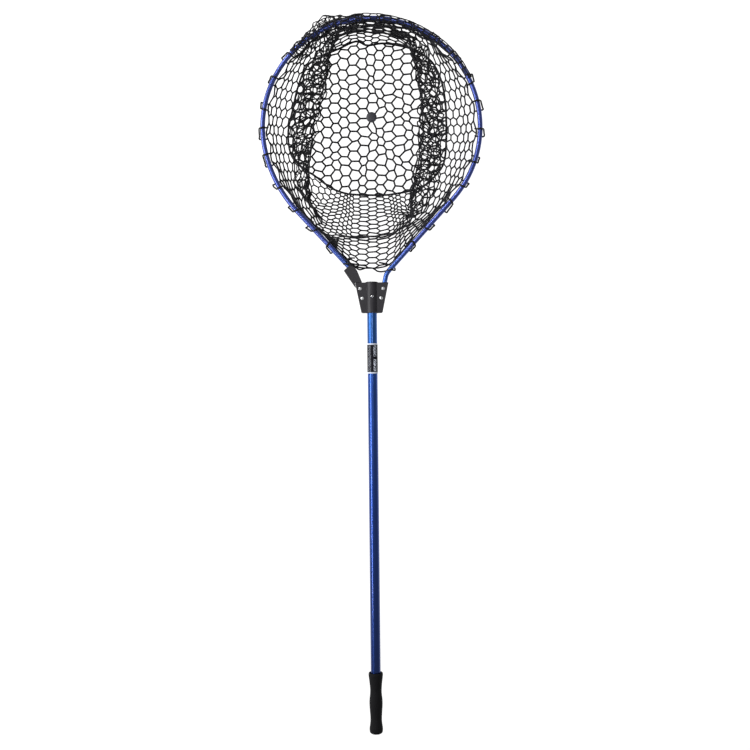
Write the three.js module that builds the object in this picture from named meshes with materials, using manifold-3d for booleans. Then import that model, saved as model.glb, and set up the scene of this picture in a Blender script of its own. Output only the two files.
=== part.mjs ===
// A long-handled landing net: a tube handle that slides through a two-shell yoke, a bent-tube
// hoop held by the yoke, and a flat-bottomed net bag hanging below the hoop.
//
// Millimetres. The origin is the middle of the butt cap's flat face. +Y runs up the handle to
// the hoop's tip, +Z is the side of the hoop's mouth, and the bag hangs towards -Z.
import * as THREE from 'three';
import { mergeVertices } from 'three/addons/utils/BufferGeometryUtils.js';
import { ParametricGeometry } from 'three/addons/geometries/ParametricGeometry.js';
import Module from 'manifold-3d';

// ---- driving dimensions ----
const GAP = 0.3; // between pieces that touch
const FIT = 0.4; // round pieces that sit inside a socket or a tube
const PAST = 1; // how far a cutting shape reaches past the piece it cuts
const FAR = 100; // beyond every side of the yoke, from its middle
const ROUND = 24; // segments round the handle's turned pieces
const SMALL_ROUND = 16; // segments round screws, holes and the button

const TUBE = { radius: 13, wall: 1.2, bottom: 5.6, top: 1171 };
const PLUG = { radius: 12.7, crown: 1174.6, crownRadius: 9.65, shoulder: 1172.8, stem: 15 };
const LABEL = { bottom: 936, top: 1014, thickness: 0.35 };
const BUTT = { radius: 16.6, face: 14.8, thickness: 5, spigot: 17 };
const GRIP = {
  bottom: 5.4, top: 159, cupFloor: 154.5, cupRadius: 15.8, mouthRadius: 16.6, lipRadius: 17.6, steps: 14,
};
const GRIP_PROFILE = [[16.8, 5.4], [17.4, 14], [15, 38], [17.2, 81], [15, 114], [18.9, 153]];

const YOKE = {
  bottom: 1093, top: 1172, bottomHalf: 27.4, topHalf: 43.5, halfThickness: 10.5, corner: 4, bevel: 1.2,
};
const BARREL = { radius: 16.5, bore: 14, top: 1174, chamfer: 1 };
const UPPER_SCREW = { x: 30, y: 1156 };
const LOWER_SCREW = { x: 24.6, y: 1131 };
const SCREW = { shank: 1.9, head: 4.4, headHeight: 2.4, rimHeight: 1.32, hole: 2.3, recess: 5.3, seat: 9 };
const SCREW_CROWN = { radius: 3.3, height: 2.16 };
const CROSS = { length: 4.84, width: 0.9, depth: 1 };
const NUT = { acrossCorners: 4.6, height: 3, bore: 2.2, recess: 5.2 };

const BUTTON = { y: 1136, radius: 3.2, flange: 4.6, flangeLow: 8.4, flangeHigh: 10.4, tip: 17.1 };
const BUTTON_HOLE = { tube: 3.6, yoke: 3.9, recess: 5.2, recessFloor: 15.4 };
const LEAF = { width: 7, thickness: 0.7, fold: 1076, end: 1141, low: -10.9, high: 8.1, lift: 1, toe: 4 };

const HOOP = { x: 3.6, y: 1577, radius: 283, tubeRadius: 6.5, tubeWall: 1 };
const RIGHT_LEG = { foot: 1119, bend: 1188, knee: [48.4, 1207] };
const LEFT_LEG = { knee: [-60, 1215.5], top: [-191.3, 1359], inserted: 14 };
const RING_END = 192.2; // degrees round the hoop, where the left leg swells out of the ring
const KNUCKLE = { halfThickness: 9, tailRadius: 6.4, tailHalf: 6.3 };
const KNUCKLE_BODY = [
  [-72, 1203.5], [-50, 1223], [-36.5, 1201], [-25.5, 1174],
  [-24, 1165.4], [-30, 1165.4], [-30, 1156], [-41, 1158.5], [-45.5, 1163.5],
];

const BAG = {
  wall: 4, rim: -10.4, throatRim: -16, throatLength: 60, depth: 165, x: -9, y: 1636,
  halfX: 218, halfY: 208, squareness: 3, sweep: 1.5,
};
const BAG_WALL_ROWS = [0, 0.16, 0.34, 0.54, 0.74, 0.9, 1]; // shares of the way down the wall
const BAG_FLOOR_ROWS = [1, 0.94, 0]; // shares of the way out across the bottom panel
const DISC = { x: 3.9, y: 1642, radius: 14.5, thickness: 3 };
const CORD = { radius: 2, inset: 0.93 };
const LOOP = { count: 24, radius: 8.7, strand: 1.3, margin: 0.045 };

// ---- materials ----
const plain = (color, roughness, metalness) =>
  new THREE.MeshStandardMaterial({ color, roughness, metalness });
const blueAnodised = () => plain(0x1f4fa8, 0.35, 0.8);
const blackPlastic = () => plain(0x1b1d22, 0.55, 0);
const blackFoam = () => plain(0x121214, 0.85, 0);
const blackRubber = () => plain(0x17181a, 0.7, 0);
const brightSteel = () => plain(0xc9ccd0, 0.25, 1);
const printedBand = () => plain(0x15161a, 0.4, 0);

// ---- solids ----
const wasm = await Module();
wasm.setup();

/** Six times the signed volume under a triangle list. */
function signedVolume(position, corners) {
  const [a, b, c] = [new THREE.Vector3(), new THREE.Vector3(), new THREE.Vector3()];
  let sum = 0;
  for (let i = 0; i < corners.length; i += 3) {
    a.fromBufferAttribute(position, corners[i]);
    b.fromBufferAttribute(position, corners[i + 1]);
    c.fromBufferAttribute(position, corners[i + 2]);
    sum += a.dot(b.cross(c));
  }
  return sum;
}

/** A geometry's closed solid: shared vertices, no triangles without area, faces outward. */
function solid(geometry) {
  const bare = geometry.clone();
  bare.deleteAttribute('normal');
  bare.deleteAttribute('uv');
  const { index, attributes } = mergeVertices(bare);
  const corners = [];
  for (let i = 0; i < index.count; i += 3) {
    const [a, b, c] = [index.getX(i), index.getX(i + 1), index.getX(i + 2)];
    if (a !== b && b !== c && c !== a) corners.push(a, b, c);
  }
  if (signedVolume(attributes.position, corners) < 0) corners.reverse();
  return new wasm.Manifold(new wasm.Mesh({
    numProp: 3,
    vertProperties: new Float32Array(attributes.position.array),
    triVerts: new Uint32Array(corners),
  }));
}

/** A solid's surface as a geometry. */
function surface(body) {
  const { vertProperties, triVerts } = body.getMesh();
  const geometry = new THREE.BufferGeometry();
  geometry.setAttribute('position', new THREE.Float32BufferAttribute(vertProperties, 3));
  geometry.setIndex([...triVerts]);
  geometry.computeVertexNormals();
  return geometry;
}

/** A solid turned about the Y axis from [radius, y] points. */
function turned(points, segments = ROUND) {
  const profile = points.map(([radius, y]) => new THREE.Vector2(radius, y));
  return solid(new THREE.LatheGeometry(profile, segments));
}

/** A hollow sleeve about the Y axis. */
function sleeve(inner, outer, bottom, top) {
  return turned([[inner, bottom], [outer, bottom], [outer, top], [inner, top], [inner, bottom]]);
}

/** A cylinder along Z at (x, y). */
function upright(radius, x, y, low, high, segments = SMALL_ROUND) {
  const geometry = new THREE.CylinderGeometry(radius, radius, high - low, segments);
  geometry.rotateX(Math.PI / 2).translate(x, y, (low + high) / 2);
  return solid(geometry);
}

/** A cylinder between two points of the XY plane. */
function between(radius, from, to) {
  const [a, b] = [new THREE.Vector3(...from, 0), new THREE.Vector3(...to, 0)];
  const geometry = new THREE.CylinderGeometry(radius, radius, a.distanceTo(b), SMALL_ROUND);
  const turn = new THREE.Quaternion().setFromUnitVectors(
    new THREE.Vector3(0, 1, 0), b.clone().sub(a).normalize());
  const middle = a.add(b).multiplyScalar(0.5);
  return solid(geometry.applyQuaternion(turn).translate(...middle));
}

/** A flat outline in XY, thickened from low to high in Z, with its edges bevelled. */
function slab(shape, low, high, bevel = 0) {
  const geometry = new THREE.ExtrudeGeometry(shape, {
    depth: high - low - 2 * bevel,
    bevelEnabled: bevel > 0,
    bevelThickness: bevel,
    bevelSize: bevel,
    bevelOffset: -bevel,
    bevelSegments: 2,
    curveSegments: SMALL_ROUND / 2,
  });
  return solid(geometry.translate(0, 0, low + bevel));
}

function outline(points) {
  return new THREE.Shape(points.map(([x, y]) => new THREE.Vector2(x, y)));
}

function box(low, high) {
  const size = high.map((value, axis) => value - low[axis]);
  const middle = high.map((value, axis) => (value + low[axis]) / 2);
  return solid(new THREE.BoxGeometry(...size).translate(...middle));
}

const joined = (first, ...others) => others.reduce((whole, piece) => whole.add(piece), first);
const cut = (first, ...others) => others.reduce((whole, piece) => whole.subtract(piece), first);

// ---- the hoop's line ----
/** Straight and round stretches in a row, each with its own number of steps. */
class SteppedPath extends THREE.Curve {
  constructor(stretches) {
    super();
    this.stretches = stretches;
    this.steps = stretches.reduce((sum, { steps }) => sum + steps, 0);
  }

  getPoint(t, target = new THREE.Vector3()) {
    let left = t * this.steps;
    for (const { curve, steps } of this.stretches) {
      if (left <= steps) return target.set(...curve.getPoint(left / steps), 0);
      left -= steps;
    }
    return target.set(...this.stretches.at(-1).curve.getPoint(1), 0);
  }

  /** Keeps the steps as given, where the base class would space them evenly. */
  getUtoTmapping(u) {
    return u;
  }
}

/** The angle at which a line from a point below touches the right of the hoop's circle. */
function touchAngle([x, y]) {
  const [dx, dy] = [x - HOOP.x, y - HOOP.y];
  return Math.atan2(dy, dx) + Math.acos(HOOP.radius / Math.hypot(dx, dy));
}

function onCircle(angle) {
  return [HOOP.x + HOOP.radius * Math.cos(angle), HOOP.y + HOOP.radius * Math.sin(angle)];
}

const line = (from, to, steps = 1) => ({
  curve: new THREE.LineCurve(new THREE.Vector2(...from), new THREE.Vector2(...to)),
  steps,
});

/** Where the right leg's inner part, through both right screws, stands at a height. */
function rightLegAt(y) {
  const slope = (UPPER_SCREW.x - LOWER_SCREW.x) / (UPPER_SCREW.y - LOWER_SCREW.y);
  return [UPPER_SCREW.x + slope * (y - UPPER_SCREW.y), y];
}

const RIGHT_TOUCH = touchAngle(RIGHT_LEG.knee);
const LEFT_END = THREE.MathUtils.degToRad(RING_END);
const vector = (point) => new THREE.Vector2(...point);
const direction = (from, to) => vector(to).sub(vector(from)).normalize();

/** A point on the left leg's line, so far beyond the knuckle's mouth. */
function leftLegAt(beyond) {
  const inward = direction(LEFT_LEG.top, LEFT_LEG.knee);
  return [...inward.multiplyScalar(beyond).add(vector(LEFT_LEG.knee))];
}

const ringArc = (steps) => ({
  curve: new THREE.EllipseCurve(
    HOOP.x, HOOP.y, HOOP.radius, HOOP.radius, RIGHT_TOUCH, LEFT_END),
  steps,
});

/** A bend between two straight parts, through the corner where their lines would meet. */
function bend([start, ahead], [end, behind], steps) {
  const [from, to] = [vector(start), vector(end)];
  const reach = to.clone().sub(from).cross(behind) / ahead.cross(behind);
  const corner = ahead.clone().multiplyScalar(reach).add(from);
  return { curve: new THREE.QuadraticBezierCurve(from, corner, to), steps };
}

/** The bend between the right leg's inner part and its long slant. */
function rightBend(steps) {
  const inner = rightLegAt(RIGHT_LEG.bend);
  const up = direction(rightLegAt(RIGHT_LEG.foot), inner);
  const slant = direction(RIGHT_LEG.knee, onCircle(RIGHT_TOUCH));
  return bend([inner, up], [RIGHT_LEG.knee, slant], steps);
}

/** The easing from the ring into the straight left leg. */
function leftSwell(steps) {
  const along = new THREE.Vector2(-Math.sin(LEFT_END), Math.cos(LEFT_END));
  return bend(
    [onCircle(LEFT_END), along], [LEFT_LEG.top, direction(LEFT_LEG.top, LEFT_LEG.knee)], steps);
}

const hoopLine = new SteppedPath([
  line(rightLegAt(RIGHT_LEG.foot), rightLegAt(RIGHT_LEG.bend)),
  rightBend(4),
  line(RIGHT_LEG.knee, onCircle(RIGHT_TOUCH)),
  ringArc(36),
  leftSwell(4),
  line(LEFT_LEG.top, leftLegAt(LEFT_LEG.inserted)),
]);

/** The closed line that the bag's rim follows: the ring, both slants and the throat between. */
const rimLine = new SteppedPath([
  line(RIGHT_LEG.knee, onCircle(RIGHT_TOUCH), 4),
  ringArc(26),
  leftSwell(4),
  line(LEFT_LEG.top, LEFT_LEG.knee, 4),
  line(LEFT_LEG.knee, RIGHT_LEG.knee, 4),
]);

/** A hollow or full round bar along a line of the XY plane. */
function bar(path, radius, hollow = 0) {
  const section = new THREE.Shape().absarc(0, 0, radius, 0, 2 * Math.PI, false);
  if (hollow) section.holes.push(new THREE.Path().absarc(0, 0, hollow, 0, 2 * Math.PI, true));
  return solid(new THREE.ExtrudeGeometry(section, {
    steps: path.steps,
    curveSegments: 6,
    extrudePath: path,
  }));
}

// ---- the handle ----
function handleTube() {
  const tube = sleeve(TUBE.radius - TUBE.wall, TUBE.radius, TUBE.bottom, TUBE.top);
  return cut(tube, upright(BUTTON_HOLE.tube, 0, BUTTON.y, 0, TUBE.radius + PAST));
}

/** The radius of the plug's and the cap's stems inside the tube. */
function stemRadius() {
  return TUBE.radius - TUBE.wall - FIT;
}

function topPlug() {
  const [stem, under] = [stemRadius(), TUBE.top + GAP];
  return turned([
    [0, TUBE.top - PLUG.stem], [stem, TUBE.top - PLUG.stem], [stem, under], [PLUG.radius, under],
    [PLUG.radius, PLUG.shoulder], [PLUG.crownRadius, PLUG.crown], [0, PLUG.crown],
  ]);
}

function labelSleeve() {
  const inner = TUBE.radius + GAP;
  return sleeve(inner, inner + LABEL.thickness, LABEL.bottom, LABEL.top);
}

function grip() {
  const knots = GRIP_PROFILE.map(([radius, y]) => new THREE.Vector2(radius, y));
  const side = new THREE.SplineCurve(knots).getPoints(GRIP.steps).map(({ x, y }) => [x, y]);
  const bore = TUBE.radius + GAP;
  return turned([
    [bore, GRIP.bottom], ...side, [GRIP.lipRadius, GRIP.top], [GRIP.mouthRadius, GRIP.top],
    [GRIP.cupRadius, GRIP.cupFloor], [bore, GRIP.cupFloor], [bore, GRIP.bottom],
  ]);
}

function buttCap() {
  const [stem, top] = [stemRadius(), BUTT.thickness + BUTT.spigot];
  return turned([
    [0, 0], [BUTT.face, 0], [BUTT.radius, BUTT.radius - BUTT.face], [BUTT.radius, BUTT.thickness],
    [stem, BUTT.thickness], [stem, top], [0, top],
  ]);
}

function snapButton() {
  const low = BUTTON.tip - BUTTON.radius;
  const dome = [0, 1, 2, 3, 4].map((step) => {
    const angle = (step / 4) * (Math.PI / 2);
    return [BUTTON.radius * Math.cos(angle), low + BUTTON.radius * Math.sin(angle)];
  });
  dome[4][0] = 0;
  const body = turned([
    [0, BUTTON.flangeLow], [BUTTON.flange, BUTTON.flangeLow], [BUTTON.flange, BUTTON.flangeHigh],
    [BUTTON.radius, BUTTON.flangeHigh], ...dome,
  ], SMALL_ROUND);
  return body.rotate([90, 0, 0]).translate([0, BUTTON.y, 0]);
}

/** A strip folded into a V, lying on the tube's rear wall and pushing the button out. */
function leafSpring() {
  const { fold, end, low, high, thickness, width, lift, toe } = LEAF;
  const inside = fold + toe + 2 * thickness;
  const strip = outline([
    [end, high], [fold, low + thickness + lift], [fold, low + lift], [fold + toe, low], [end, low],
    [end, low + thickness], [inside, low + thickness + lift / 2], [end, high - thickness],
  ]);
  const geometry = new THREE.ExtrudeGeometry(strip, { depth: width, bevelEnabled: false });
  // the outline's axes are Y and Z of the net
  const turn = new THREE.Matrix4().makeBasis(
    new THREE.Vector3(0, 1, 0), new THREE.Vector3(0, 0, 1), new THREE.Vector3(1, 0, 0));
  return solid(geometry.applyMatrix4(turn).translate(-width / 2, 0, 0));
}

// ---- the yoke ----
const SCREWS = [
  [-UPPER_SCREW.x, UPPER_SCREW.y], [UPPER_SCREW.x, UPPER_SCREW.y],
  [-LOWER_SCREW.x, LOWER_SCREW.y], [LOWER_SCREW.x, LOWER_SCREW.y],
];

/** The wings' outline: a trapezoid that widens upward, rounded at all corners but the top right. */
function wingOutline() {
  const { bottom, top, bottomHalf, topHalf, corner } = YOKE;
  const lean = (corner * (topHalf - bottomHalf)) / (top - bottom);
  const shape = new THREE.Shape();
  shape.moveTo(-bottomHalf + corner, bottom);
  shape.lineTo(bottomHalf - corner, bottom);
  shape.quadraticCurveTo(bottomHalf, bottom, bottomHalf + lean, bottom + corner);
  shape.lineTo(topHalf, top);
  shape.lineTo(-topHalf + corner, top);
  shape.quadraticCurveTo(-topHalf, top, -topHalf + lean, top - corner);
  shape.lineTo(-bottomHalf - lean, bottom + corner);
  shape.quadraticCurveTo(-bottomHalf, bottom, -bottomHalf + corner, bottom);
  return shape;
}

/** A flat bar with round ends between two points, from -half to half in Z. */
function capsule(radius, from, to, half) {
  const ends = [from, to].map(([x, y]) => upright(radius, x, y, -half, half));
  const [dx, dy] = [to[0] - from[0], to[1] - from[1]];
  const scale = radius / Math.hypot(dx, dy);
  const side = [-dy * scale, dx * scale];
  const middle = outline([
    [from[0] + side[0], from[1] + side[1]], [from[0] - side[0], from[1] - side[1]],
    [to[0] - side[0], to[1] - side[1]], [to[0] + side[0], to[1] + side[1]],
  ]);
  return joined(slab(middle, -half, half), ...ends);
}

const KNUCKLE_PIN = [-UPPER_SCREW.x, UPPER_SCREW.y];
const KNUCKLE_NECK = [-38, 1182];

/** The sleeve round the handle, as a full bar with chamfered ends. */
function barrelBar() {
  const { radius, top, chamfer } = BARREL;
  return turned([
    [0, YOKE.bottom], [radius - chamfer, YOKE.bottom], [radius, YOKE.bottom + chamfer],
    [radius, top - chamfer], [radius - chamfer, top], [0, top],
  ]);
}

/** What is taken out of the shells for the handle, the hoop's foot and the knuckle's tail. */
function yokeHollows() {
  const [low, high] = [YOKE.bottom - PAST, BARREL.top + PAST];
  const bore = turned([[0, low], [BARREL.bore, low], [BARREL.bore, high], [0, high]]);
  const [foot, out] = [rightLegAt(RIGHT_LEG.foot - GAP), rightLegAt(YOKE.top + HOOP.tubeRadius)];
  const channel = between(HOOP.tubeRadius + FIT, foot, out);
  const { tailRadius, tailHalf } = KNUCKLE;
  const pocket = capsule(tailRadius + FIT, KNUCKLE_PIN, KNUCKLE_NECK, tailHalf + FIT);
  return [bore, channel, pocket];
}

/** Both shells as one body, with every hole in it. */
function wholeYoke() {
  const wings = slab(wingOutline(), -YOKE.halfThickness, YOKE.halfThickness, YOKE.bevel);
  const out = BARREL.radius + PAST;
  const fasteners = SCREWS.flatMap(([x, y]) => [
    upright(SCREW.hole, x, y, -out, out),
    upright(SCREW.recess, x, y, SCREW.seat, out),
    upright(NUT.recess, x, y, -out, -SCREW.seat, 6),
  ]);
  return cut(
    joined(wings, barrelBar()), ...yokeHollows(), ...fasteners,
    upright(BUTTON_HOLE.yoke, 0, BUTTON.y, 0, out),
    upright(BUTTON_HOLE.recess, 0, BUTTON.y, BUTTON_HOLE.recessFloor, out));
}

/** The part of a body on one side of the hoop's plane. */
function halfOf(body, side) {
  const [low, high] = side > 0 ? [GAP / 2, FAR] : [-FAR, -GAP / 2];
  return body.intersect(box([-FAR, YOKE.bottom - FAR, low], [FAR, YOKE.top + FAR, high]));
}

/** A pan-head screw with a cross recess, its head towards +Z. */
function screw() {
  const { shank, head, headHeight, rimHeight, seat } = SCREW;
  const base = seat + GAP;
  const tail = -seat - NUT.height - PAST;
  const body = turned([
    [0, tail], [shank, tail], [shank, base], [head, base], [head, base + rimHeight],
    [SCREW_CROWN.radius, base + SCREW_CROWN.height], [0, base + headHeight],
  ], SMALL_ROUND);
  const slot = (turn) => solid(
    new THREE.BoxGeometry(CROSS.length, 2 * CROSS.depth, CROSS.width)
      .rotateY(turn).translate(0, base + headHeight, 0));
  return cut(body, slot(0), slot(Math.PI / 2)).rotate([90, 0, 0]);
}

function nut() {
  const top = -SCREW.seat - GAP;
  const body = upright(NUT.acrossCorners, 0, 0, top - NUT.height, top, 6);
  return cut(body, upright(NUT.bore, 0, 0, top - NUT.height - PAST, top + PAST));
}

// ---- the hoop ----
function hoopTube() {
  const tube = bar(hoopLine, HOOP.tubeRadius, HOOP.tubeRadius - HOOP.tubeWall);
  const pins = SCREWS.filter(([x]) => x > 0)
    .map(([x, y]) => upright(SCREW.hole, x, y, -HOOP.tubeRadius - PAST, HOOP.tubeRadius + PAST));
  return cut(tube, ...pins);
}

/** The elbow that holds the hoop's left end, with a flat tail pinned inside the yoke. */
function knuckle() {
  const body = slab(outline(KNUCKLE_BODY), -KNUCKLE.halfThickness, KNUCKLE.halfThickness);
  const [x, y] = KNUCKLE_PIN;
  const far = KNUCKLE.halfThickness + PAST;
  const { bottom, top, bottomHalf, topHalf } = YOKE;
  const clear = slab(outline([
    [-bottomHalf - FIT, bottom], [-topHalf - FIT, top + FIT], [0, top + FIT], [0, bottom],
  ]), -far, far);
  const tail = capsule(KNUCKLE.tailRadius, KNUCKLE_PIN, KNUCKLE_NECK, KNUCKLE.tailHalf);
  const socket = between(
    HOOP.tubeRadius + GAP, leftLegAt(LEFT_LEG.inserted + GAP), leftLegAt(-3 * LEFT_LEG.inserted));
  return cut(joined(cut(body, clear), tail), socket, upright(SCREW.hole, x, y, -far, far));
}

// ---- the net ----
/** Half the size of a rounded square in the direction of an angle. */
function panelEdge(angle, scale = 1) {
  const [c, s] = [Math.cos(angle), Math.sin(angle)];
  const power = BAG.squareness;
  const reach = (Math.abs(c / BAG.halfX) ** power + Math.abs(s / BAG.halfY) ** power) ** (-1 / power);
  return [BAG.x + scale * reach * c, BAG.y + scale * reach * s];
}

/** The rim sags where the handle passes over it, in the throat between the legs. */
function rimHeight(x, y) {
  const throat = THREE.MathUtils.smoothstep(HOOP.y - HOOP.radius - y, 0, BAG.throatLength);
  return THREE.MathUtils.lerp(BAG.rim, BAG.throatRim, throat);
}

/** Rows of the bag's profile, [across, down, side]: inside bottom, inside wall, outside. */
function bagRows() {
  const inside = [
    ...BAG_FLOOR_ROWS.toReversed().slice(0, -1).map((spread) => [spread, 1, -1]),
    ...BAG_WALL_ROWS.toReversed().map((down) => [1, down, -1]),
  ];
  return [...inside, ...inside.toReversed().map(([spread, down]) => [spread, down, 1])];
}

/** The bag as one smooth skin: a wall from the rim down to a rounded square, and its bottom. */
function netBag() {
  const rows = bagRows();
  const { lerp } = THREE.MathUtils;
  const place = (u, v, target) => {
    const [spread, down, side] = rows[Math.round(v * (rows.length - 1))];
    const top = rimLine.getPoint(u);
    const angle = Math.atan2(top.y - BAG.y, top.x - BAG.x);
    const [x, y] = panelEdge(angle);
    const inward = down ** BAG.sweep;
    const half = (side * BAG.wall) / 2;
    const atX = lerp(top.x, x, inward) + half * Math.cos(angle);
    const atY = lerp(top.y, y, inward) + half * Math.sin(angle);
    const fall = Math.sin((down * Math.PI) / 2);
    const below = down === 1 ? half : 0;
    const z = lerp(rimHeight(top.x, top.y), -BAG.depth, fall) - below;
    target.set(DISC.x + spread * (atX - DISC.x), DISC.y + spread * (atY - DISC.y), z);
  };
  return solid(new ParametricGeometry(place, rimLine.steps, rows.length - 1));
}

function netDisc() {
  const low = -BAG.depth + BAG.wall / 2 + GAP;
  return upright(DISC.radius, DISC.x, DISC.y, low, low + DISC.thickness);
}

/** The cord round the bottom panel, lying on it. */
function baseCord() {
  const z = -BAG.depth + BAG.wall / 2 + GAP + CORD.radius;
  const place = (u, v, target) => {
    const [angle, turn] = [u * 2 * Math.PI, v * 2 * Math.PI];
    const [x, y] = panelEdge(angle, CORD.inset);
    const out = CORD.radius * Math.cos(turn);
    target.set(x + out * Math.cos(angle), y + out * Math.sin(angle), z + CORD.radius * Math.sin(turn));
  };
  return solid(new ParametricGeometry(place, 36, 6));
}

/** Rings of net strand round the hoop, evenly spaced along it. */
function netLoops(group) {
  const route = new SteppedPath(hoopLine.stretches.slice(2));
  const lengths = route.stretches.map(({ curve }) => curve.getLength());
  const whole = lengths.reduce((sum, length) => sum + length, 0);
  for (let n = 0; n < LOOP.count; n += 1) {
    const share = LOOP.margin + ((1 - 2 * LOOP.margin) * n) / (LOOP.count - 1);
    let left = share * whole;
    let part = 0;
    while (left > lengths[part]) {
      left -= lengths[part];
      part += 1;
    }
    const { curve } = route.stretches[part];
    const at = curve.getPointAt(left / lengths[part]);
    const along = curve.getTangentAt(left / lengths[part]);
    const strand = new THREE.TorusGeometry(LOOP.radius, LOOP.strand, 5, 10);
    const name = `net_loop_${String(n + 1).padStart(2, '0')}`;
    const loop = add(group, name, solid(strand), blackRubber());
    loop.position.set(at.x, at.y, 0);
    loop.quaternion.setFromUnitVectors(
      new THREE.Vector3(0, 0, 1), new THREE.Vector3(along.x, along.y, 0));
  }
}

// ---- the assembly ----
function add(group, name, body, material) {
  const mesh = new THREE.Mesh(surface(body), material);
  mesh.name = name;
  group.add(mesh);
  return mesh;
}

function handleGroup() {
  const group = new THREE.Group();
  add(group, 'handle_tube', handleTube(), blueAnodised());
  add(group, 'handle_top_plug', topPlug(), blackPlastic());
  add(group, 'label_sleeve', labelSleeve(), printedBand());
  add(group, 'grip', grip(), blackFoam());
  add(group, 'butt_cap', buttCap(), blackRubber());
  add(group, 'snap_button', snapButton(), brightSteel());
  add(group, 'button_spring', leafSpring(), brightSteel());
  return group;
}

function headGroup() {
  const group = new THREE.Group();
  const yoke = wholeYoke();
  add(group, 'yoke_front', halfOf(yoke, 1), blackPlastic());
  add(group, 'yoke_rear', halfOf(yoke, -1), blackPlastic());
  add(group, 'hoop_tube', hoopTube(), blueAnodised());
  add(group, 'hoop_knuckle', knuckle(), blackPlastic());
  SCREWS.forEach(([x, y], n) => {
    add(group, `yoke_screw_${n + 1}`, screw(), brightSteel()).position.set(x, y, 0);
    add(group, `yoke_nut_${n + 1}`, nut(), brightSteel()).position.set(x, y, 0);
  });
  add(group, 'net_bag', netBag(), blackRubber());
  add(group, 'net_centre_disc', netDisc(), blackRubber());
  add(group, 'net_base_cord', baseCord(), blackRubber());
  netLoops(group);
  return group;
}

const net = new THREE.Group();
net.add(handleGroup(), headGroup());

export default net;
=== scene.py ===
"""A long-handled landing net: tube handle, two-shell yoke, tube hoop and moulded rubber net bag."""
import math
import random

import bmesh
import bpy
from mathutils import Matrix, Vector, noise


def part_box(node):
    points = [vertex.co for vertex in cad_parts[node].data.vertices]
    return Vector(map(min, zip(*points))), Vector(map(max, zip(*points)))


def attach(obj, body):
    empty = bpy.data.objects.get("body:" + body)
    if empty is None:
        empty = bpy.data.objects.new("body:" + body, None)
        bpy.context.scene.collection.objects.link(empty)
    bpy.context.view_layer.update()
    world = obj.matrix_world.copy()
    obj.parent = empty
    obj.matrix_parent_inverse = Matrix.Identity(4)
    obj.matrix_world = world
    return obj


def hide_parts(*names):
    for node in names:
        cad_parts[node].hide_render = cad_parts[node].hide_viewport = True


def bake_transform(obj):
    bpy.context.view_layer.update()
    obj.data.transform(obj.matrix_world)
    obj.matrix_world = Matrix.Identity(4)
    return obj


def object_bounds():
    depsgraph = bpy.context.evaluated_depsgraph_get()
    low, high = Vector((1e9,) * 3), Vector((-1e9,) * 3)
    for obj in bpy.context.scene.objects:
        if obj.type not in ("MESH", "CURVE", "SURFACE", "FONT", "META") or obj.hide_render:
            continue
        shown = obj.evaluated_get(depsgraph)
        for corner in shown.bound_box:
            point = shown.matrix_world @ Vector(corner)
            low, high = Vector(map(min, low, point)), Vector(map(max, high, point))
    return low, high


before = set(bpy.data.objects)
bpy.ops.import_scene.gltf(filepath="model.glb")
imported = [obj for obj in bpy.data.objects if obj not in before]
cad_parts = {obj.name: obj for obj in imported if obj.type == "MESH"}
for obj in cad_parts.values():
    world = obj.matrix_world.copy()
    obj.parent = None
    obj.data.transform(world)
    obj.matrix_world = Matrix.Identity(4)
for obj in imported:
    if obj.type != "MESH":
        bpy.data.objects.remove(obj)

MM = 0.001
SEED = 7
random.seed(SEED)
noise.seed_set(SEED)
CAD_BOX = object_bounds()


# ---- sizes read from the frame ----
def middle(node):
    low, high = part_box(node)
    return (low + high) / 2


TUBE_LOW, TUBE_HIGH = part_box("handle_tube")
TUBE_RADIUS = TUBE_HIGH.x
TUBE_WALL = 1.2 * MM
TUBE_GAP = 0.3 * MM  # between the tube and what is pushed over it
HOOP_LOW, HOOP_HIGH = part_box("hoop_tube")
HOOP_TUBE = HOOP_HIGH.z
HOOP_RADIUS = (HOOP_HIGH.x - HOOP_LOW.x) / 2 - HOOP_TUBE
HOOP_X = (HOOP_LOW.x + HOOP_HIGH.x) / 2
HOOP_Y = HOOP_HIGH.y - HOOP_TUBE - HOOP_RADIUS
SCREW_RIGHT = [middle("yoke_screw_4"), middle("yoke_screw_2")]
DISC = middle("net_centre_disc")
LOOPS = sorted(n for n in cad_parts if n.startswith("net_loop_"))


# ---- helpers ----
ON_AXIS = 1e-7  # a profile point with a smaller radius lies on the axis


def clamped(value, low=0, high=1):
    return min(max(value, low), high)


def piece(name, verts, faces, body, slot, material, smooth=True):
    """A mesh object that rides on a CAD body."""
    mesh = bpy.data.meshes.new(name)
    mesh.from_pydata([tuple(v) for v in verts], [], faces)
    mesh.update()
    obj = bpy.data.objects.new(name, mesh)
    bpy.context.scene.collection.objects.link(obj)
    mesh.materials.append(material)
    if smooth:
        mesh.shade_smooth()
    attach(obj, body)
    return obj


def sharpen(obj, degrees=35):
    obj.data.set_sharp_from_angle(angle=math.radians(degrees))


def with_modifiers(obj):
    """Replaces the object's mesh by what its modifiers make of it."""
    graph = bpy.context.evaluated_depsgraph_get()
    made = bpy.data.meshes.new_from_object(obj.evaluated_get(graph))
    obj.modifiers.clear()
    obj.data = made
    return obj


def cut_out(obj, verts, faces):
    """Takes a closed shape away from an object."""
    mesh = bpy.data.meshes.new("cutter")
    mesh.from_pydata([tuple(v) for v in verts], [], faces)
    cutter = bpy.data.objects.new("cutter", mesh)
    bpy.context.scene.collection.objects.link(cutter)
    cut = obj.modifiers.new("cut", "BOOLEAN")
    cut.operation, cut.solver, cut.object = "DIFFERENCE", "EXACT", cutter
    with_modifiers(obj)
    bpy.data.objects.remove(cutter)


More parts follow.
